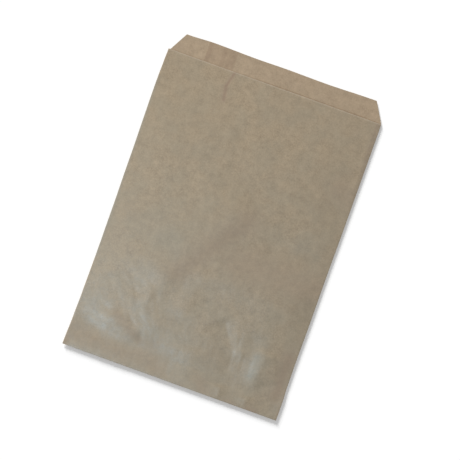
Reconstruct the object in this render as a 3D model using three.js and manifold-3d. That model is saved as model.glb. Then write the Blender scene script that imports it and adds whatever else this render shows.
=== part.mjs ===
import * as THREE from 'three';
import { mergeVertices } from 'three/addons/utils/BufferGeometryUtils.js';
import Module from 'manifold-3d';

const wasm = await Module();
wasm.setup();

// Flat kraft paper bag: one sheet wrapped into a tube, lapped and pasted down the back, its bottom
// turned up on the back and pasted, its mouth cut with the back panel standing above the front.
// The bag lies on its back. X runs across it, Y from the bottom to the mouth, Z up out of the front.
// Sizes are in millimetres.

// Folded bag
const width = 158.75;
const length = 234.95;
const lip = 14;
const paper = 0.1;

// Pasted lap down the back, measured from the left fold, and pasted bottom flap
const lapStart = 25.8;
const lapWidth = 21.5;
const flap = 15.5;

// Corners cut off the lip: where each cut starts at the mouth, and how far in it ends
const leftCutStart = 1.3;
const leftCutEnd = 9;
const rightCutStart = 0.35;
const rightCutEnd = 8.5;

// Unevenness of the made bag: how far the side folds stand out of straight at shares of the way up,
// how far the cut edge of the lip wanders at shares of the width, how far the bottom is out of square
const leftOut = [
  [0, 0.65], [0.1, 0], [0.17, -0.29], [0.33, -0.44], [0.47, -0.29], [0.6, 0.04],
  [0.89, 0.69], [0.96, 0.45], [1, 0.2],
];
const rightOut = [
  [0.06, 0.35], [0.11, -0.1], [0.19, -0.25], [0.32, -0.1], [0.48, -0.22], [0.64, -0.04],
  [0.97, 0], [1, -0.15],
];
const lipWander = [[0.07, -0.35], [0.18, 0.37], [0.39, -0.14], [0.52, 0.1], [0.71, -0.18], [0.92, 0.5]];
const bottomSkew = 0.6;

// Spring of the folds: how high they stand off the table, and how far in the back reaches it
const foldLift = 1;
const liftReach = 22;
const mouthLiftShare = 0.8;
const lipCurl = 0.4;

// Pocket: height of the front panel in the body, how quickly it rises from a side fold, how much of
// its height it gains over the pasted band, and the run over which it gains the rest
const crown = 1.9;
const foldRun = 8;
const bandShare = 0.35;
const bandRun = 4;
const openRun = 10;
const cornerHeight = 12.5;
const cornerWidth = 23;

// Mouth: height of the front panel where it touches, how much higher it gapes at the left, right of
// the middle and by the right fold, each over a run of shares of the width, and how far below the
// mouth these heights are felt
const mouthRest = 0.42;
const leftGape = { rise: 0.5, from: 0.02, to: 0.11 };
const middleGape = { rise: 0.4, from: 0.32, to: 0.56 };
const rightGape = { rise: 0.4, from: 0.7, to: 0.97 };
const mouthRun = 55;

// Right side rolled round to the front at the mouth: its visible width and how far down it fades;
// upwards it fades over the lip
const rollWidth = 3.2;
const rollRun = 70;

// How far across the panel the unevenness of a side fold is taken up
const bowReach = 20;

// Facets and small allowances: the slope of a cut edge, the sag beside one, the run from a fold to
// the first facet line, and how far the front panel's fold sits inside the back panel's
const acrossStep = 4.6;
const lowerStep = 3.9;
const upperStep = 7.2;
const backStep = 9;
const cutSlope = 0.05;
const sagRun = 5;
const foldFacet = 1.5;
const tuck = 0.1;

const front = length - lip;
const lapEnd = lapStart + lapWidth;

// Soft creases of the front panel. Ends are shares of the panel, across and up. Each rises by rise,
// or sinks where that is negative, and dies out over left and right on its two sides.
const creases = [
  { from: [0.28, 0.275], to: [0.56, 0.605], rise: 1.4, left: 24, right: 11 },
  { from: [0.47, 0.38], to: [0.97, 0.35], rise: 1, left: 18, right: 12 },
  { from: [0.7, 0.51], to: [0.95, 0.51], rise: -0.6, left: 7, right: 12 },
  { from: [0.02, 0.082], to: [0.43, 0.07], rise: -0.9, left: 7, right: 11 },
  { from: [0.475, 0.21], to: [0.545, 0.36], rise: 0.45, left: 10, right: 6 },
  { from: [0.288, 0.213], to: [0.288, 0.27], rise: 0.2, left: 4.5, right: 3 },
  { from: [0.668, 0.02], to: [0.712, 0.149], rise: -0.7, left: 9, right: 10 },
  { from: [0.712, 0.149], to: [0.634, 0.235], rise: -0.45, left: 9, right: 9 },
  { from: [0.799, 0.08], to: [0.795, 0.226], rise: -0.4, left: 5, right: 6 },
  { from: [0.875, 0.03], to: [0.869, 0.208], rise: 1, left: 8, right: 14 },
  { from: [0.727, 0], to: [0.72, 0.04], rise: 0.3, left: 5, right: 4 },
  { from: [0.846, 0], to: [0.84, 0.04], rise: 0.3, left: 5, right: 4 },
  { from: [0.288, 0.09], to: [0.138, 0.149], rise: 0.6, left: 10, right: 5 },
  { from: [0.363, 0.136], to: [0.25, 0.235], rise: 0.35, left: 6, right: 8 },
  { from: [0.42, 0], to: [0.42, 0.059], rise: -0.3, left: 4, right: 4 },
  { from: [0.564, 0.027], to: [0.551, 0.136], rise: 0.5, left: 12, right: 9 },
  { from: [0.448, 0.625], to: [0.448, 0.842], rise: -0.25, left: 5, right: 6 },
];
const creaseFade = 0.15;

const { clamp, lerp, smoothstep } = THREE.MathUtils;

const reach = (stops) => Math.max(...stops.map(([, out]) => out));
const offCentre = (reach(leftOut) - reach(rightOut)) / 2;

// Smooth run through a few stops, each a place and a value
function through(stops, place) {
  const next = stops.findIndex(([at]) => at > place);
  if (next === 0) return stops[0][1];
  if (next < 0) return stops.at(-1)[1];
  const [[start, before], [end, after]] = stops.slice(next - 1, next + 1);
  return lerp(before, after, smoothstep(place, start, end));
}

// Height of one crease at a point of the panel
function crease(x, y, { from, to, rise, left, right }) {
  const start = new THREE.Vector2(from[0] * width, from[1] * front);
  const line = new THREE.Vector2(to[0] * width, to[1] * front).sub(start);
  const point = new THREE.Vector2(x, y).sub(start);
  const share = point.dot(line) / line.lengthSq();
  const off = -line.cross(point) / line.length();
  const ends = smoothstep(share, -creaseFade, creaseFade)
    * (1 - smoothstep(share, 1 - creaseFade, 1 + creaseFade));
  return rise * ends * Math.exp(-((off / (off > 0 ? right : left)) ** 2));
}

// Lift of the back off the table beside the side and bottom folds; x is measured from the left fold
function lift(x, y) {
  const near = (distance) => clamp(1 - distance / liftReach, 0, 1) ** 2;
  const side = lerp(1, mouthLiftShare, clamp(y / front, 0, 1));
  const flat = (1 - side * near(x)) * (1 - side * near(width - x)) * (1 - near(y));
  return foldLift * (1 - flat);
}

// Paper beside a cut edge sags back from the ply it lies on
function sag(distance) {
  return distance <= 0 ? 0 : paper * (1 - smoothstep(distance, cutSlope, sagRun));
}

function plies(x, y) {
  return 1 + (x >= lapStart && x <= lapEnd ? 1 : 0) + (y <= flap ? 1 : 0);
}

function backUnder(x, y) {
  const curl = lipCurl * clamp((y - front) / lip, 0, 1) ** 2;
  return lift(x, y) + sag(x - lapEnd) + sag(y - flap) + curl;
}

function backOver(x, y) {
  return backUnder(x, y) + paper * plies(x, y);
}

function roll(y) {
  return clamp(1 - (y < front ? (front - y) / rollRun : (y - front) / lip), 0, 1);
}

// Share of the way from closed at a fold to fully open, over the front panel
function opening(x, y) {
  const left = 1 - Math.exp(-x / foldRun);
  const right = x >= width ? 0 : lerp(1 - Math.exp(-(width - x) / foldRun), 1, roll(y));
  const slant = Math.hypot(cornerWidth, cornerHeight);
  const past = (side) => (cornerHeight * side + cornerWidth * (y - flap - cornerHeight)) / slant;
  const above = Math.min(y - flap, past(x), past(width - x));
  const band = bandShare * (1 - Math.exp(-y / bandRun));
  return left * right * (band + (1 - bandShare) * (1 - Math.exp(-Math.max(above, 0) / openRun)));
}

// Height of the front panel's inside face
function frontUnder(x, y) {
  const gape = ({ rise, from, to }) => rise * smoothstep(x / width, from, to);
  const mouth = mouthRest + leftGape.rise - gape(leftGape) + gape(middleGape) + gape(rightGape);
  const swell = lerp(crown, mouth, smoothstep(y, front - mouthRun, front));
  const level = creases.reduce((sum, each) => sum + crease(x, y, each), swell);
  const fold = backOver(x, y) - paper / 2;
  return lerp(fold, level, opening(x, y));
}

// Place of a facet line across the panel: the side folds bow, and the last line before the right
// fold follows the roll
function across(x, y) {
  const near = (distance) => clamp(1 - distance / bowReach, 0, 1);
  const fromRight = width - x;
  const left = through(leftOut, y / front) * near(x);
  const right = through(rightOut, y / front) * near(fromRight);
  const rolled = fromRight > 0 ? (rollWidth - foldFacet) * roll(y) * near(fromRight - foldFacet) : 0;
  return x - width / 2 + offCentre - left + right - rolled;
}

// Place of a facet line along the bag: the bottom fold is out of square and the lip's edge wanders
function along(x, y) {
  const skew = y <= 0 ? bottomSkew * (0.5 - x / width) : 0;
  const wander = y >= length ? through(lipWander, x / width) : 0;
  return y - length / 2 + skew + wander;
}

function spread(start, end, step) {
  const count = Math.max(1, Math.round((end - start) / step));
  return Array.from({ length: count + 1 }, (_, i) => lerp(start, end, i / count));
}

function stations(...lists) {
  const all = lists.flat().sort((a, b) => a - b);
  return all.filter((value, i) => i === 0 || value - all[i - 1] > cutSlope / 2);
}

// A closed sheet between two heights, lofted over facet lines across and along the bag
function sheet(xs, ys, under, over, inset) {
  const points = [];
  for (const y of ys) {
    for (const x of xs) {
      const inX = across(x, y) + (x <= 0 ? inset : 0) - (x >= width ? inset : 0);
      const inY = along(x, y) + (y <= 0 ? inset : 0);
      points.push(inX, inY, under(x, y), inX, inY, over(x, y));
    }
  }
  const faces = [];
  const quad = (a, b, c, d) => faces.push(a, b, c, a, c, d);
  const at = (i, j, top) => 2 * (j * xs.length + i) + top;
  const lastX = xs.length - 1;
  const lastY = ys.length - 1;
  for (let j = 0; j < lastY; j++) {
    for (let i = 0; i < lastX; i++) {
      quad(at(i, j, 1), at(i + 1, j, 1), at(i + 1, j + 1, 1), at(i, j + 1, 1));
      quad(at(i, j, 0), at(i, j + 1, 0), at(i + 1, j + 1, 0), at(i + 1, j, 0));
    }
    quad(at(0, j + 1, 0), at(0, j, 0), at(0, j, 1), at(0, j + 1, 1));
    quad(at(lastX, j, 0), at(lastX, j + 1, 0), at(lastX, j + 1, 1), at(lastX, j, 1));
  }
  for (let i = 0; i < lastX; i++) {
    quad(at(i, 0, 0), at(i + 1, 0, 0), at(i + 1, 0, 1), at(i, 0, 1));
    quad(at(i + 1, lastY, 0), at(i, lastY, 0), at(i, lastY, 1), at(i + 1, lastY, 1));
  }
  return solid(new Float32Array(points), new Uint32Array(faces));
}

function solid(vertProperties, triVerts) {
  return new wasm.Manifold(new wasm.Mesh({ numProp: 3, vertProperties, triVerts }));
}

// Back panel with its lap and turned-up flap, from the bottom fold to the edge of the lip
function backPanel() {
  const beside = (edge) => [edge + cutSlope, edge + sagRun / 2, edge + sagRun];
  const nearFold = [0, foldFacet, liftReach / 4, liftReach / 2, liftReach];
  const xs = stations(
    nearFold,
    nearFold.map((x) => width - x),
    [lapStart - cutSlope, lapStart, lapEnd],
    beside(lapEnd),
    spread(lapEnd + sagRun, width - liftReach, backStep),
  );
  const ys = stations(
    nearFold,
    [flap],
    beside(flap),
    spread(liftReach, front, 2 * backStep),
    [front + lip / 2, length],
  );
  return sheet(xs, ys, backUnder, backOver, 0);
}

// Front panel, from the bottom fold to the mouth
function frontPanel() {
  const ends = [0, foldFacet];
  const xs = stations(
    ends,
    ends.map((x) => width - x),
    spread(foldFacet, width - foldFacet, acrossStep),
  );
  const half = front / 2;
  const ys = stations(
    ends,
    spread(foldFacet, flap, lowerStep),
    spread(flap, half, lowerStep),
    spread(half, front, upperStep),
  );
  return sheet(xs, ys, frontUnder, (x, y) => frontUnder(x, y) + paper, tuck);
}

// Prism that takes one corner off the lip; side is -1 on the left and 1 on the right
function cornerCut(side, start, end) {
  const clear = 5;
  const edge = width / 2;
  const lean = (end - start) / lip;
  const top = lip + clear;
  const outline = new THREE.Shape([
    new THREE.Vector2(side * (edge + clear), 0),
    new THREE.Vector2(side * (edge - start), 0),
    new THREE.Vector2(side * (edge - start - lean * top), top),
    new THREE.Vector2(side * (edge + clear), top),
  ]);
  const depth = 2 * clear;
  const prism = new THREE.ExtrudeGeometry(outline, { depth, bevelEnabled: false });
  prism.translate(0, front - length / 2, -clear);
  prism.deleteAttribute('normal');
  prism.deleteAttribute('uv');
  const merged = mergeVertices(prism);
  return solid(merged.attributes.position.array, new Uint32Array(merged.index.array));
}

function bagMesh() {
  const bag = backPanel()
    .subtract(cornerCut(-1, leftCutStart, leftCutEnd))
    .subtract(cornerCut(1, rightCutStart, rightCutEnd))
    .add(frontPanel());
  const { vertProperties, triVerts } = bag.getMesh();
  const geometry = new THREE.BufferGeometry();
  geometry.setAttribute('position', new THREE.BufferAttribute(vertProperties, 3));
  geometry.setIndex(new THREE.BufferAttribute(triVerts, 1));
  geometry.computeVertexNormals();
  const kraft = new THREE.MeshStandardMaterial({ color: 0x9e927c, roughness: 0.7, metalness: 0 });
  const mesh = new THREE.Mesh(geometry, kraft);
  mesh.name = 'paper_bag';
  return mesh;
}

const group = new THREE.Group();
group.add(bagMesh());

export default group;
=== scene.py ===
import math

import bmesh
import bpy
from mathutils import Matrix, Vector, noise


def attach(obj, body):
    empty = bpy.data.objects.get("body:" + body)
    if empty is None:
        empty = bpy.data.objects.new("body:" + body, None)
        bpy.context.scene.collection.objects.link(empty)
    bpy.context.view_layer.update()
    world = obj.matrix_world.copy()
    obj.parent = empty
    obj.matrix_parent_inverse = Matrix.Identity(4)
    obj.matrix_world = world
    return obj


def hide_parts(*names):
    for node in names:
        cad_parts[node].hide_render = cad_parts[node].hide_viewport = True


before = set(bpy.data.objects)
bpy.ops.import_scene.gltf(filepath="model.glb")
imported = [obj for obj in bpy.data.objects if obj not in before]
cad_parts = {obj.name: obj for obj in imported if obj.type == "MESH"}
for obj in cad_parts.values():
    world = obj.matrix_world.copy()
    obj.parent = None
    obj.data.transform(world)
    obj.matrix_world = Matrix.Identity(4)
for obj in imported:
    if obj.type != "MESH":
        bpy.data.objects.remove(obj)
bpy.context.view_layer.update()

# Bag
# One sheet of brown kraft paper, glazed on the outside, wrapped into a flat tube and pasted in a lap
# down the back. The front panel runs on past the bottom, is turned up on the back and pasted there.
# The mouth is cut so that the back panel stands above the front as a lip with its corners taken off.

# Sizes are in millimetres until the mesh is made, and places nearer than a hair count as one
MM = 0.001
hair = 0.01

width = 158.75
length = 234.95
lip = 14.0
front = length - lip
paper = 0.1
lap_start = 25.8
lap_width = 21.5
lap_end = lap_start + lap_width
flap = 15.5

# A pasted ply takes up a little more than the paper's own thickness
ply_share = 1.15
ply = ply_share * paper

# How far in from the fold each corner's cut starts at the mouth and ends at the top of the lip
left_cut = (1.1, 8.8)
right_cut = (0.15, 8.3)

# How far the side folds stand out of straight at shares of the way up, how far the cut edge of the
# lip wanders at shares of the width, and how far the bottom fold is out of square
left_out = (
    (0, 0.65), (0.1, 0), (0.17, -0.29), (0.33, -0.44), (0.47, -0.29), (0.6, 0.04),
    (0.89, 0.69), (0.96, 0.45), (1, 0.2),
)
right_out = (
    (0.06, 0.35), (0.11, -0.1), (0.19, -0.25), (0.32, -0.1), (0.48, -0.22), (0.64, -0.04),
    (0.97, 0), (1, -0.15),
)
lip_wander = ((0.07, -0.35), (0.18, 0.37), (0.39, -0.14), (0.52, 0.1), (0.71, -0.18), (0.92, 0.5))
bottom_skew = 0.6
bow_reach = 20.0
off_centre = (max(out for _, out in left_out) - max(out for _, out in right_out)) / 2

# Spring of the folds off the table, the curl of the lip, and how far paper takes to sag past an edge
fold_lift = 1.0
lift_reach = 22.0
mouth_lift_share = 0.8
lip_curl = 0.4
sag_run = 5.0

# Swell of the pocket between the folds. It opens little over the pasted flap and its slanted corners.
crown = 1.9
fold_run = 8.0
band_share = 0.35
band_run = 4.0
open_run = 10.0
corner_height = 12.5
corner_width = 23.0

# Gape of the mouth: its least height, and how much more its left, middle and right stand open, with
# the shares of the width over which each comes and goes
mouth_rest = 0.42
left_gape = 0.5
left_gape_run = (0.02, 0.11)
middle_gape = 0.4
middle_gape_run = (0.32, 0.56)
right_gape = 0.4
right_gape_run = (0.7, 0.97)
mouth_run = 55.0

# The right fold is rolled over towards the mouth
roll_width = 3.2
roll_run = 70.0
roll_start = 1.5

# Round nose of a folded edge: its reach, and half its length along the sheet
side_nose = 0.12
bottom_nose = 0.18
side_half = side_nose * math.pi / 2
bottom_half = bottom_nose * math.pi / 2

# Soft creases of the front panel: from and to as shares of the panel across and up, then the rise,
# and the reach to the left and to the right of the line
creases = (
    ((0.28, 0.275), (0.56, 0.605), 1.25, 24, 13),
    ((0.47, 0.38), (0.97, 0.35), 1.0, 18, 12),
    ((0.7, 0.51), (0.95, 0.51), -0.6, 7, 12),
    ((0.95, 0.82), (0.95, 0.67), -0.4, 8, 14),
    ((0.02, 0.082), (0.43, 0.07), -0.9, 7, 11),
    ((0.45, 0.21), (0.475, 0.37), 0.5, 9, 9),
    ((0.288, 0.213), (0.288, 0.27), 0.2, 4.5, 3),
    ((0.72, 0.02), (0.74, 0.149), -0.9, 10, 9),
    ((0.712, 0.149), (0.634, 0.235), -0.45, 9, 9),
    ((0.799, 0.08), (0.795, 0.226), -0.4, 5, 6),
    ((0.875, 0.03), (0.869, 0.208), 0.42, 9, 20),
    ((0.727, 0), (0.72, 0.04), 0.3, 5, 4),
    ((0.846, 0), (0.84, 0.04), 0.3, 5, 4),
    ((0.288, 0.09), (0.138, 0.149), 0.5, 10, 6),
    ((0.363, 0.136), (0.25, 0.235), 0.42, 7, 12),
    ((0.42, 0), (0.42, 0.059), -0.3, 4, 4),
    ((0.564, 0.01), (0.545, 0.12), 0.6, 10, 8),
    ((0.448, 0.625), (0.448, 0.842), -0.25, 5, 6),
)

# Sharp creases, in the same terms, which are too narrow to change the shape of the bag
sharp_creases = (
    ((0.313, 1.0), (0.295, 0.948), -0.12, 2.5, 1.6),
    ((0.295, 0.948), (0.305, 0.905), -0.12, 2.5, 1.6),
    ((0.636, 0.245), (0.718, 0.158), -0.42, 3.5, 7),
    ((0.718, 0.158), (0.724, 0.09), -0.35, 4, 8),
    ((0.955, 0.07), (0.915, 0.16), 0.5, 3, 9),
    ((0.864, 0.07), (0.86, 0.19), 0.6, 6.5, 26),
    ((0.004, 0.124), (0.148, 0.074), -0.2, 4, 5),
    ((0.15, 0.073), (0.31, 0.068), -0.42, 4.5, 7),
    ((0.125, 0), (0.122, 0.05), 1.2, 4, 3),
    ((0.724, 0), (0.72, 0.045), 1.8, 5, 3),
    ((0.85, 0), (0.846, 0.035), 1.6, 5, 3),
    ((0.47, 0.0), (0.465, 0.08), -0.7, 4, 5),
    ((0.99, 0.076), (0.955, 0.006), -1.6, 4, 5),
    ((0.988, 1.0), (0.99, 0.75), 0.12, 2.2, 3),
)

# A crease comes in and goes out over this share of its run, each way from its ends
crease_fade = 0.15


def clamp(value):
    return min(max(value, 0.0), 1.0)


def lerp(low, high, share):
    return low + (high - low) * share


def smooth(value, start, end):
    share = clamp((value - start) / (end - start))
    return share * share * (3 - 2 * share)


def through(stops, place):
    """Smooth run through a few stops, each a place and a value."""
    if place <= stops[0][0]:
        return stops[0][1]
    for (start, before), (end, after) in zip(stops, stops[1:]):
        if place <= end:
            return lerp(before, after, smooth(place, start, end))
    return stops[-1][1]


def crease_height(x, y, start, end, rise, left, right, sharp=False):
    """Height of one crease at a point: a soft one is rounded, and a sharp one comes to an edge."""
    ax, ay = start[0] * width, start[1] * front
    dx, dy = end[0] * width - ax, end[1] * front - ay
    run = math.hypot(dx, dy)
    share = ((x - ax) * dx + (y - ay) * dy) / run**2
    if not -crease_fade < share < 1 + crease_fade:
        return 0.0
    off = ((x - ax) * dy - (y - ay) * dx) / run
    ends = smooth(share, -crease_fade, crease_fade)
    ends *= 1 - smooth(share, 1 - crease_fade, 1 + crease_fade)
    away = abs(off) / (right if off > 0 else left)
    return rise * ends * math.exp(-(away if sharp else away**2))


def lift(x, y):
    """Lift of the back off the table beside the side and bottom folds."""
    side = lerp(1, mouth_lift_share, clamp(y / front))
    flat = 1.0
    for distance, share in ((x, side), (width - x, side), (y, 1.0)):
        flat *= 1 - share * clamp(1 - distance / lift_reach) ** 2
    return fold_lift * (1 - flat)


def sag(distance):
    """Paper beside a cut edge sags back from the ply it lies on."""
    return ply * (1 - smooth(distance, 0, sag_run))


def back_height(x, y, inner):
    """Outside face of the back panel; the inner leaf of the lap lies over the outer one."""
    over_flap = ply if y <= flap else sag(y - flap)
    over_leaf = (ply if x <= lap_end else sag(x - lap_end)) if inner else 0.0
    return lift(x, y) + over_flap + over_leaf + lip_curl * clamp((y - front) / lip) ** 2


def roll(y):
    """How far the right fold is rolled over: 0 well below the mouth and at the top, 1 at the mouth."""
    return clamp(1 - (front - y) / roll_run if y < front else 1 - (y - front) / lip)


def opening(x, y):
    """Share of the way from closed at a fold to fully open."""
    left = 1 - math.exp(-x / fold_run)
    right = lerp(1 - math.exp(-(width - x) / fold_run), 1, roll(y) * smooth(width - x, 0, roll_start))
    slant = math.hypot(corner_width, corner_height)
    above = y - flap
    for side in (x, width - x):
        past = (corner_height * side + corner_width * (y - flap - corner_height)) / slant
        above = min(above, past)
    band = band_share * (1 - math.exp(-y / band_run))
    return left * right * (band + (1 - band_share) * (1 - math.exp(-max(above, 0) / open_run)))


# Fine pleats that fan out from where the bag was gripped: the middle of the fan, the middle of the
# pleated patch and its reach, the turn between pleats, and their height
fans = (
    ((77, -9), (34, 32), 28, 0.06, 0.13),
    ((125, -40), (124, 28), 26, 0.045, 0.1),
    ((84, -60), (84, 24), 26, 0.04, 0.08),
    ((110, 220), (76, 80), 40, 0.04, 0.045),
    ((30, 260), (34, 2), 14, 0.014, 0.4),
)
pleat_length = 16
pleat_narrowness = 3
pleat_wander = 1.2
wander_length = 15

# Waves of the paper: how long they are across and up, where in the noise they are read, and how high
# they are in paper left alone and in paper that was handled. The handled belt fades in and out.
broad_wave = (17, 23, 3.1)
broad_rise = (0.08, 0.14)
fine_wave = (6, 8, 8.7)
fine_rise = (0.03, 0.045)
belt_start = (15, 85)
belt_end = (140, 200)


def cockle(x, y):
    """Slight waviness that damp and handling leave in thin paper."""
    handled = smooth(y, *belt_start) * (1 - smooth(y, *belt_end))
    height = 0.0
    for (long_across, long_up, layer), rise in ((broad_wave, broad_rise), (fine_wave, fine_rise)):
        height += lerp(*rise, handled) * noise.noise(Vector((x / long_across, y / long_up, layer)))
    for middle, patch, reach, turn, rise in fans:
        angle = math.atan2(y - middle[1], x - middle[0]) / turn
        radius = math.hypot(x - middle[0], y - middle[1])
        angle += pleat_wander * noise.noise(Vector((x / wander_length, y / wander_length, middle[0])))
        fade = math.exp(-((x - patch[0]) ** 2 + (y - patch[1]) ** 2) / reach**2)
        across_pleats = noise.noise(Vector((angle, radius / pleat_length, middle[0])))
        height += rise * fade * (1 - pleat_narrowness * abs(across_pleats))
    return height


# Paper over the lap comes down from it in this run
lap_ramp = 1


def front_height(x, y):
    """Outside face of the front panel."""
    share = x / width
    mouth = mouth_rest + left_gape * (1 - smooth(share, *left_gape_run))
    mouth += middle_gape * smooth(share, *middle_gape_run) + right_gape * smooth(share, *right_gape_run)
    level = lerp(crown, mouth, smooth(y, front - mouth_run, front)) + cockle(x, y)
    level += sum(crease_height(x, y, *each) for each in creases)
    level += sum(crease_height(x, y, *each, sharp=True) for each in sharp_creases)
    lapped = smooth(x, lap_start - lap_ramp, lap_start) * (1 - smooth(x, lap_end, lap_end + lap_ramp))
    fold = back_height(x, y, False) + (2 + lapped) * ply
    return lerp(fold, level + paper, opening(x, y))


def across(x, y):
    """Place across the table of a point on a panel: the side folds bow and the right one rolls."""
    up = y / front
    left = through(left_out, up) * clamp(1 - x / bow_reach)
    right = through(right_out, up) * clamp(1 - (width - x) / bow_reach)
    inside = width - x - roll_start
    rolled = clamp(1 - inside / bow_reach) if inside >= 0 else clamp(1 + inside / roll_start)
    return x - width / 2 + off_centre - left + right - (roll_width - roll_start) * roll(y) * rolled


def along(x, y):
    """Place along the table: the bottom is out of square and the edge of the lip wanders."""
    skew = bottom_skew * (0.5 - x / width) * clamp(1 - y / bow_reach)
    wander = through(lip_wander, x / width) * clamp((y - front) / lip)
    return y - length / 2 + skew + wander


# Places on the flat sheet: 0 is the left side fold and the bottom fold, and right_fold the other
right_fold = width - 2 * side_nose + 2 * side_half
mouth_line = front - bottom_nose + bottom_half
sheet_top = length - bottom_nose + bottom_half
sheet_left = -(lap_end - side_nose + side_half)
sheet_right = right_fold + (width - lap_start) - side_nose + side_half


def folded(s, t):
    """Where a point of the flat sheet lies once the bag is made."""
    if abs(t) < bottom_half:
        turn = t / bottom_half * math.pi / 2
        y = bottom_nose * (1 - math.cos(turn))
    else:
        turn = math.copysign(math.pi / 2, t)
        y = abs(t) - bottom_half + bottom_nose
    beyond = s - right_fold
    near = s if abs(s) < abs(beyond) else -beyond
    if abs(near) < side_half:
        bend = near / side_half * math.pi / 2
        reach = side_nose * (1 - math.cos(bend))
    else:
        bend = math.copysign(math.pi / 2, near)
        reach = abs(near) - side_half + side_nose
    on_left = near is s
    x = reach if on_left else width - reach
    under = lift(x, y) if t < bottom_half and bend > 0 else back_height(x, y, not on_left)
    over = front_height(x, y)
    z = lerp(under, over, (1 + math.sin(min(turn, bend))) / 2)
    return Vector((across(x, y), along(x, y), z)) * MM


def spread(start, end, step):
    """Places from start to end, about a step apart."""
    count = max(1, round(abs(end - start) / step))
    return [lerp(start, end, i / count) for i in range(count + 1)]


def run_of(*lists):
    """All the places in order, each once."""
    places = sorted(place for each in lists for place in each)
    return [p for i, p in enumerate(places) if i == 0 or p - places[i - 1] > hair]


# Mesh steps of the front panel, of the flat leaves behind it, of the flap and of the lip
panel_step = 1.16
leaf_step = 4.4
flap_step = 2.2
lip_step = 1.2
nose_steps = 6
columns = run_of(
    spread(sheet_left, -side_half, leaf_step),
    spread(-side_half, side_half, 2 * side_half / nose_steps),
    spread(side_half, right_fold - side_half, panel_step),
    spread(right_fold - side_half, right_fold + side_half, 2 * side_half / nose_steps),
    spread(right_fold + side_half, sheet_right, leaf_step),
)
rows = run_of(
    spread(-(flap - bottom_nose + bottom_half), -bottom_half, flap_step),
    spread(-bottom_half, bottom_half, 2 * bottom_half / nose_steps),
    spread(bottom_half, mouth_line, panel_step),
    spread(mouth_line, sheet_top, lip_step),
)

bm = bmesh.new()
bmesh.ops.create_grid(bm, x_segments=len(columns) - 1, y_segments=len(rows) - 1, size=1)
for vert in bm.verts:
    column = round((vert.co.x + 1) / 2 * (len(columns) - 1))
    row = round((vert.co.y + 1) / 2 * (len(rows) - 1))
    vert.co = (columns[column], rows[row], 0)


def off_the_sheet(face):
    """The blank has no front panel above the mouth, and nothing but front panel below the bottom."""
    s, t, _ = face.calc_center_median()
    on_front = -side_half < s < right_fold + side_half
    inside_noses = side_half < s < right_fold - side_half
    return (on_front and t > mouth_line) or (not inside_noses and t < 0)


bmesh.ops.delete(bm, geom=[f for f in bm.faces if off_the_sheet(f)], context="FACES")


# Marks on the front panel, from and to as shares of the panel, then reach and strength: brown for wear
# and for painted shade where the paper turns away from the light and its sheen, and grey-blue painted
# sheen where the glaze would mirror a cool light
wear_and_shade_marks = (
    ((0.313, 1.0), (0.295, 0.948), 1.4, 1.0),
    ((0.295, 0.948), (0.305, 0.905), 2.0, 0.9),
    ((0.994, 1.0), (0.994, 0.89), 1.3, 0.6),
    ((0.996, 0.89), (0.998, 0.75), 1.1, 0.5),
    ((0.02, 0.055), (0.12, 0.04), 8, 0.45),
    ((0.12, 0.04), (0.42, 0.04), 8, 0.38),
    ((0.17, 0.15), (0.31, 0.093), 3.5, 0.5),
    ((0.34, 0.09), (0.38, 0.09), 6, 0.25),
    ((0.59, 0.56), (0.37, 0.34), 9, 0.55),
    ((0.93, 0.76), (0.99, 0.74), 9, 0.4),
    ((0.6, 0.43), (0.97, 0.43), 13, 0.48),
    ((0.64, 0.16), (0.65, 0.1), 8, 0.15),
    ((0.92, 0.13), (0.94, 0.09), 4, 0.25),
    ((0.965, 0.2), (0.965, 0.07), 6, 0.65),
    ((0.63, 0.035), (0.65, 0.01), 4, 0.45),
    ((0.75, 0.004), (0.79, 0.004), 2.2, 0.45),
    ((0.63, 0.01), (0.632, 0.03), 2, 0.4),
    ((0.415, 0.02), (0.415, 0.06), 3, 0.3),
    ((0.86, 0.005), (0.905, 0.004), 2.2, 0.65),
    ((1.0, 0), (1.0, 0.08), 1.6, 0.45),
    ((0, 0), (0, 0.09), 1.6, 0.45),
    ((0, 0), (0.012, 0.03), 3.5, 0.55),
)
# Painted sheen: grey-blue where the glaze would mirror the cool lamp, on a streak, a few patches and
# along the left fold
painted_sheen_marks = (
    ((0.83, 0.11), (0.835, 0.17), 5, 0.4),
    ((0.8, 0.22), (0.83, 0.22), 8, 0.2),
    ((0.27, 0.45), (0.3, 0.43), 13, 0.18),
    ((0.86, 0.57), (0.92, 0.57), 8, 0.15),
    ((0, 0.9), (0, 0.3), 1.2, 0.5),
)

# Strength of the brown line of painted shadow that the edge of the mouth lays across the foot of the lip
mouth_shadow_left = 0.6
mouth_shadow_right = 0.25


def marked_at(marks, x, y):
    """Strongest of the marks at a point of the front panel."""
    most = 0.0
    for start, end, reach, share in marks:
        a = Vector((start[0] * width, start[1] * front))
        b = Vector((end[0] * width, end[1] * front))
        line = b - a
        point = Vector((x, y)) - a
        nearest = line * clamp(point.dot(line) / line.length_squared)
        most = max(most, share * math.exp(-((point - nearest).length / reach) ** 2))
    return most


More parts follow.
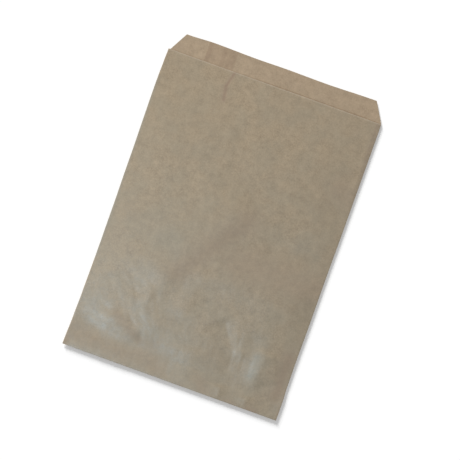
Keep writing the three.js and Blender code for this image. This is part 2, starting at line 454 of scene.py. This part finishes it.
# The sheet's own map is in units of 100 mm, and wear with painted shade, painted sheen and fraying are
# kept as values at each vertex
sheet_scale = 0.01
sheet_map = bm.loops.layers.uv.new("sheet")
wear_and_shade = bm.verts.layers.float.new("wear_and_shade")
painted_sheen = bm.verts.layers.float.new("painted_sheen")
frayed = bm.verts.layers.float.new("frayed")
for face in bm.faces:
    face.smooth = True
    for loop in face.loops:
        loop[sheet_map].uv = loop.vert.co.xy * sheet_scale
for vert in bm.verts:
    s, t, _ = vert.co
    if 0 <= s <= right_fold and t >= 0:
        vert[wear_and_shade] = marked_at(wear_and_shade_marks, s, t)
        vert[painted_sheen] = marked_at(painted_sheen_marks, s, t)
        vert[frayed] = float(abs(t - mouth_line) < hair)
    vert.co = folded(s, t)
    # The foot of the lip takes that painted shadow line, stronger on the left, in the same layer as the
    # wear and painted shade
    if abs(t - mouth_line) < hair and not 0 <= s <= right_fold:
        vert[wear_and_shade] = lerp(mouth_shadow_left, mouth_shadow_right, clamp(vert.co.x / (width * MM) + 0.5))


def cut_corner(side, fold, cut):
    """Takes the corner off the lip beside one fold; side is -1 on the left and 1 on the right."""
    start = Vector((fold - side * cut[0], front - length / 2, 0)) * MM
    end = Vector((fold - side * cut[1], length / 2, 0)) * MM
    outward = Vector((side * (end - start).y, abs((end - start).x), 0))
    faces = [f for f in bm.faces if f.calc_center_median().y > start.y]

    # Dicts keep their order and sets don't, so these give the same mesh each run
    edges = dict.fromkeys(e for f in faces for e in f.edges)
    verts = dict.fromkeys(v for f in faces for v in f.verts)
    geom = [*verts, *edges, *faces]
    bmesh.ops.bisect_plane(bm, geom=geom, plane_co=start, plane_no=outward, clear_outer=True)


cut_corner(-1, off_centre - width / 2, left_cut)
cut_corner(1, off_centre + width / 2, right_cut)

flat_mesh = bpy.data.meshes.new("kraft_sheet")
bm.to_mesh(flat_mesh)
bm.free()
bag = bpy.data.objects.new("kraft_bag", flat_mesh)
bpy.context.scene.collection.objects.link(bag)


def new_material(name):
    material = bpy.data.materials.new(name)
    material.use_nodes = True
    tree = material.node_tree
    return material, tree, tree.nodes["Principled BSDF"]


def noise_node(tree, coordinates, scale, detail, roughness=0.5):
    node = tree.nodes.new("ShaderNodeTexNoise")
    node.inputs["Scale"].default_value = scale
    node.inputs["Detail"].default_value = detail
    node.inputs["Roughness"].default_value = roughness
    tree.links.new(coordinates, node.inputs["Vector"])
    return node.outputs["Fac"]


def placed(tree, coordinates, scale=(1, 1, 1), shift=(0, 0, 0)):
    node = tree.nodes.new("ShaderNodeMapping")
    node.inputs["Location"].default_value = shift
    node.inputs["Scale"].default_value = scale
    tree.links.new(coordinates, node.inputs["Vector"])
    return node.outputs["Vector"]


def ramp(tree, value, low, high, out_low=0.0, out_high=1.0):
    node = tree.nodes.new("ShaderNodeMapRange")
    node.inputs["From Min"].default_value = low
    node.inputs["From Max"].default_value = high
    node.inputs["To Min"].default_value = out_low
    node.inputs["To Max"].default_value = out_high
    tree.links.new(value, node.inputs["Value"])
    return node.outputs["Result"]


def mixed(tree, share, first, second):
    """Colour between first and second; each is a colour or another node's output."""
    node = tree.nodes.new("ShaderNodeMix")
    node.data_type = "RGBA"
    tree.links.new(share, node.inputs[0])
    for socket, colour in ((node.inputs[6], first), (node.inputs[7], second)):
        if isinstance(colour, tuple):
            socket.default_value = (*colour, 1)
        else:
            tree.links.new(colour, socket)
    return node.outputs[2]


def bump_node(tree, height, distance, below=None):
    node = tree.nodes.new("ShaderNodeBump")
    node.inputs["Distance"].default_value = distance
    tree.links.new(height, node.inputs["Height"])
    if below is not None:
        tree.links.new(below, node.inputs["Normal"])
    return node.outputs["Normal"]


strip_soft = 0.8


def strip(tree, value, start, end):
    """1 between two places of the sheet, in millimetres, and 0 beyond, with soft sides."""
    both = tree.nodes.new("ShaderNodeMath")
    both.operation = "MINIMUM"
    for side, (place, inward) in enumerate(((start, strip_soft), (end, -strip_soft))):
        outer, inner = (place - inward) * sheet_scale, (place + inward) * sheet_scale
        tree.links.new(ramp(tree, value, outer, inner), both.inputs[side])
    return both.outputs[0]


def marked(tree, name):
    node = tree.nodes.new("ShaderNodeAttribute")
    node.attribute_name = name
    return node.outputs["Fac"]


# Tones that paste, wear with painted shade, and painted sheen give the sheet. Past the darkest threshold,
# a brown mark of wear or painted shade turns darker still.
pasted_tone = (0.255, 0.172, 0.115)
wear_and_shade_tone = (0.312, 0.226, 0.151)
darkest_wear_and_shade_tone = (0.245, 0.160, 0.107)
painted_sheen_tone = (0.270, 0.255, 0.205)
frayed_tone = (0.50, 0.40, 0.30)
darkest_from = 0.5
darkest_cover = 0.6
frayed_cover = 0.5
marked_roughness = 0.3

# Most of a noise's values lie in noise_span. The grain makes the paper this much darker and lighter.
noise_span = (0.3, 0.7)
grain_shade = (0.9, 1.1)
tooth_height = 0.02 * MM
fibre_height = 0.02 * MM


def kraft(name, colours, roughness, specular, pasted=()):
    """Kraft paper. Colours are those of the ground, and of the clouds, specks, fibres, drifts and
    tints over it. Pasted lists strips of the sheet where the ply behind is pasted on and shows
    through: the axis they are measured along, where they start and end, and how much they cover."""
    material, tree, shader = new_material(name)
    place = placed(tree, tree.nodes.new("ShaderNodeTexCoord").outputs["Object"], shift=(0.37, 0.71, 0.13))
    sheet = tree.nodes.new("ShaderNodeUVMap")
    sheet.uv_map = "sheet"
    run = placed(tree, sheet.outputs["UV"], scale=(90, 22, 1))
    cloud = noise_node(tree, place, scale=190, detail=3)
    drift = noise_node(tree, place, scale=24, detail=2)
    grain = noise_node(tree, place, scale=210, detail=4, roughness=0.85)
    speckle = noise_node(tree, place, scale=950, detail=2)
    tint = noise_node(tree, place, scale=75, detail=2)
    fibre = noise_node(tree, run, scale=9, detail=3, roughness=0.65)

    # Each layer's noise, the values between which it comes in, and how much it then covers
    layers = (
        (cloud, *noise_span, 1),
        (speckle, *noise_span, 0.8),
        (fibre, 0.35, 0.65, 0.35),
        (drift, 0.35, 0.65, 0.4),
        (tint, 0.38, 0.62, 0.3),
    )
    body = colours[0]
    for (field, start, full, cover), colour in zip(layers, colours[1:]):
        body = mixed(tree, ramp(tree, field, start, full, 0, cover), body, colour)
    split = tree.nodes.new("ShaderNodeSeparateXYZ")
    tree.links.new(sheet.outputs["UV"], split.inputs[0])
    for axis, start, end, cover in pasted:
        band = strip(tree, split.outputs[axis], start, end)
        body = mixed(tree, ramp(tree, band, 0, 1, 0, cover), body, pasted_tone)
    # Brown of wear and painted shade, darkest where the mark is strongest, then grey-blue painted sheen
    # and the pale frayed edge. The brown marks also roughen the glaze.
    wear_and_shade_share = marked(tree, "wear_and_shade")
    body = mixed(tree, wear_and_shade_share, body, wear_and_shade_tone)
    body = mixed(tree, ramp(tree, wear_and_shade_share, darkest_from, 1, 0, darkest_cover), body, darkest_wear_and_shade_tone)
    body = mixed(tree, marked(tree, "painted_sheen"), body, painted_sheen_tone)
    body = mixed(tree, ramp(tree, marked(tree, "frayed"), 0, 1, 0, frayed_cover), body, frayed_tone)
    shade = tree.nodes.new("ShaderNodeVectorMath")
    shade.operation = "SCALE"
    tree.links.new(body, shade.inputs[0])
    tree.links.new(ramp(tree, grain, *noise_span, *grain_shade), shade.inputs["Scale"])
    tree.links.new(shade.outputs[0], shader.inputs["Base Color"])
    glaze = tree.nodes.new("ShaderNodeMath")
    glaze.operation = "ADD"
    tree.links.new(ramp(tree, cloud, *noise_span, *roughness), glaze.inputs[0])
    tree.links.new(ramp(tree, wear_and_shade_share, 0, 1, 0, marked_roughness), glaze.inputs[1])
    tree.links.new(glaze.outputs[0], shader.inputs["Roughness"])
    shader.inputs["Specular IOR Level"].default_value = specular
    tooth = bump_node(tree, speckle, tooth_height)
    tree.links.new(bump_node(tree, fibre, fibre_height, tooth), shader.inputs["Normal"])
    return material


outside = kraft(
    "kraft_glazed_outside",
    ((0.265, 0.197, 0.126), (0.350, 0.264, 0.170), (0.420, 0.320, 0.208), (0.245, 0.178, 0.112),
     (0.315, 0.244, 0.162), (0.292, 0.244, 0.172)),
    roughness=(0.38, 0.48),
    specular=0.9,
    pasted=(
        ("X", sheet_left, sheet_left + 1.5, 0.4),
        ("X", sheet_left + 5, sheet_left + 16, 0.25),
        ("Y", -flap, 1.5 - flap, 0.4),
        ("Y", 4 - flap, 12 - flap, 0.25),
    ),
)
inside = kraft(
    "kraft_matte_inside",
    ((0.310, 0.227, 0.151), (0.417, 0.311, 0.211), (0.456, 0.342, 0.234), (0.281, 0.200, 0.131),
     (0.364, 0.274, 0.187), (0.366, 0.281, 0.196)),
    roughness=(0.78, 0.88),
    specular=0.25,
    pasted=(
        ("X", sheet_right - 3.6, sheet_right, 0.3),
        ("X", sheet_right - 14.2, sheet_right - 11.2, 0.2),
        ("X", sheet_right - lap_width, sheet_right - 15.4, 0.22),
        ("X", sheet_right - lap_width, sheet_right, 0.2),
    ),
)
cut_edge = kraft(
    "kraft_cut_edge",
    ((0.46, 0.39, 0.28), (0.50, 0.43, 0.31), (0.52, 0.45, 0.33), (0.42, 0.34, 0.24),
     (0.48, 0.41, 0.30), (0.48, 0.41, 0.30)),
    roughness=(0.85, 0.9),
    specular=0.2,
)
for material in (outside, inside, cut_edge):
    bag.data.materials.append(material)

# The sheet gets its thickness inwards, with the matte side within and the pale edge on the rim
crisp_fold = math.radians(50)
thickness = bag.modifiers.new("paper", "SOLIDIFY")
thickness.thickness = paper * MM
thickness.offset = -1
thickness.material_offset = 1
thickness.material_offset_rim = 2
made = bpy.data.meshes.new_from_object(bag.evaluated_get(bpy.context.evaluated_depsgraph_get()))
bag.modifiers.clear()
bag.data = made
made.set_sharp_from_angle(angle=crisp_fold)

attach(bag, "root")
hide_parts("paper_bag")

# Floor
# A pale table top, wide enough for every view. It shows white and keeps the bag's shadow, and it is
# clear from below, so that the back of the bag can be looked at.
floor_reach = 3
floor_gap = 0.1 * MM
bm = bmesh.new()
bmesh.ops.create_grid(bm, x_segments=1, y_segments=1, size=floor_reach)
bmesh.ops.translate(bm, verts=bm.verts, vec=(0, 0, -floor_gap))
floor_mesh = bpy.data.meshes.new("floor")
bm.to_mesh(floor_mesh)
bm.free()
floor = bpy.data.objects.new("floor", floor_mesh)
bpy.context.scene.collection.objects.link(floor)
table_top, tree, shader = new_material("table_top")
shader.inputs["Base Color"].default_value = (0.9, 0.9, 0.9, 1)
shader.inputs["Roughness"].default_value = 0.9
shader.inputs["Specular IOR Level"].default_value = 0
shader.inputs["Emission Color"].default_value = (1, 1, 1, 1)
shader.inputs["Emission Strength"].default_value = 0.2
from_below = tree.nodes.new("ShaderNodeNewGeometry")
clear = tree.nodes.new("ShaderNodeBsdfTransparent")
one_way = tree.nodes.new("ShaderNodeMixShader")
tree.links.new(from_below.outputs["Backfacing"], one_way.inputs[0])
tree.links.new(shader.outputs[0], one_way.inputs[1])
tree.links.new(clear.outputs[0], one_way.inputs[2])
tree.links.new(one_way.outputs[0], tree.nodes["Material Output"].inputs["Surface"])
floor_mesh.materials.append(table_top)

# Light
# Even light from all round, a soft warm lamp on the left, a weak one beyond the mouth, a small cool
# one over the lower left corner that the glaze mirrors, and a lamp for the table alone, which lays
# the bag's shadow.
room_strength = 0.36
world = bpy.data.worlds.new("room")
bpy.context.scene.world = world
world.use_nodes = True
tree = world.node_tree
room = tree.nodes["Background"]
room.inputs["Color"].default_value = (1, 1, 1, 1)
room.inputs["Strength"].default_value = room_strength
seen = tree.nodes.new("ShaderNodeBackground")
seen.inputs["Color"].default_value = (1, 1, 1, 1)
seen.inputs["Strength"].default_value = 1
rays = tree.nodes.new("ShaderNodeLightPath")
looked_at = tree.nodes.new("ShaderNodeMath")
looked_at.operation = "MAXIMUM"
tree.links.new(rays.outputs["Is Camera Ray"], looked_at.inputs[0])
tree.links.new(rays.outputs["Is Transmission Ray"], looked_at.inputs[1])
either = tree.nodes.new("ShaderNodeMixShader")
tree.links.new(looked_at.outputs[0], either.inputs[0])
tree.links.new(room.outputs[0], either.inputs[1])
tree.links.new(seen.outputs[0], either.inputs[2])
tree.links.new(either.outputs[0], tree.nodes["World Output"].inputs["Surface"])


def lamp(name, kind, place, energy, colour, size, lights):
    """A lamp at a place in metres that looks at the bag and lights one object only. Size is metres
    across for an area lamp, and an angle for a sun."""
    data = bpy.data.lights.new(name, kind)
    data.energy = energy
    data.color = colour
    if kind == "AREA":
        data.size = size
    else:
        data.angle = size
    lamp_object = bpy.data.objects.new(name, data)
    lamp_object.location = place
    lamp_object.rotation_euler = Vector(place).to_track_quat("Z", "Y").to_euler()
    lamp_object.visible_camera = False
    bpy.context.scene.collection.objects.link(lamp_object)
    lit = bpy.data.collections.new(name + "_lights")
    lit.objects.link(lights)
    lamp_object.light_linking.receiver_collection = lit
    return lamp_object


warm = (1, 0.97, 0.93)
cool = (0.5, 0.78, 1)
pale = (1, 0.98, 0.95)
window = lamp("window", "AREA", place=(-0.9, 0.2, 0.4), energy=9.8, colour=warm, size=0.4, lights=bag)
lamp("sky", "AREA", place=(-0.14, -0.2, 0.45), energy=0.71, colour=cool, size=0.1, lights=bag)
lamp("fill", "AREA", place=(0.22, 0.62, 0.38), energy=1.5, colour=pale, size=0.3, lights=bag)

# The glaze doesn't mirror the window, which would glare when the bag is looked at from the right
window.visible_glossy = False

# The table lamp stands beyond the top of the picture, a little to the left, and so low that the bag's
# edges, a millimetre off the table, throw a shadow over three millimetres long
camera_turn = math.radians(19.7)
table_rise = math.radians(16.3)
table_turn = camera_turn + math.radians(110)
table_spread = math.radians(18)
table_place = (
    math.cos(table_turn) * math.cos(table_rise),
    math.sin(table_turn) * math.cos(table_rise),
    math.sin(table_rise),
)
lamp("table_lamp", "SUN", table_place, energy=6.3, colour=(1, 1, 1), size=table_spread, lights=floor)

# Camera
# Straight above the bag with a long lens, turned so that the bag lies a little clockwise. The scale of
# the picture holds at the level of the front panel, and the bag lies a little off its middle.
picture_side = 460
mm_per_pixel = 0.70334
camera_height = 2.4
middle_x = 4.3
middle_y = -2.35
panel_level = 1.5
camera_data = bpy.data.cameras.new("camera")
camera = bpy.data.objects.new("camera", camera_data)
camera_data.lens = camera_data.sensor_width * camera_height / (picture_side * mm_per_pixel * MM)
camera.location = (middle_x * MM, middle_y * MM, camera_height + panel_level * MM)
camera.rotation_euler = (0, 0, camera_turn)
bpy.context.scene.collection.objects.link(camera)
bpy.context.scene.camera = camera
bpy.context.scene.view_settings.view_transform = "Standard"
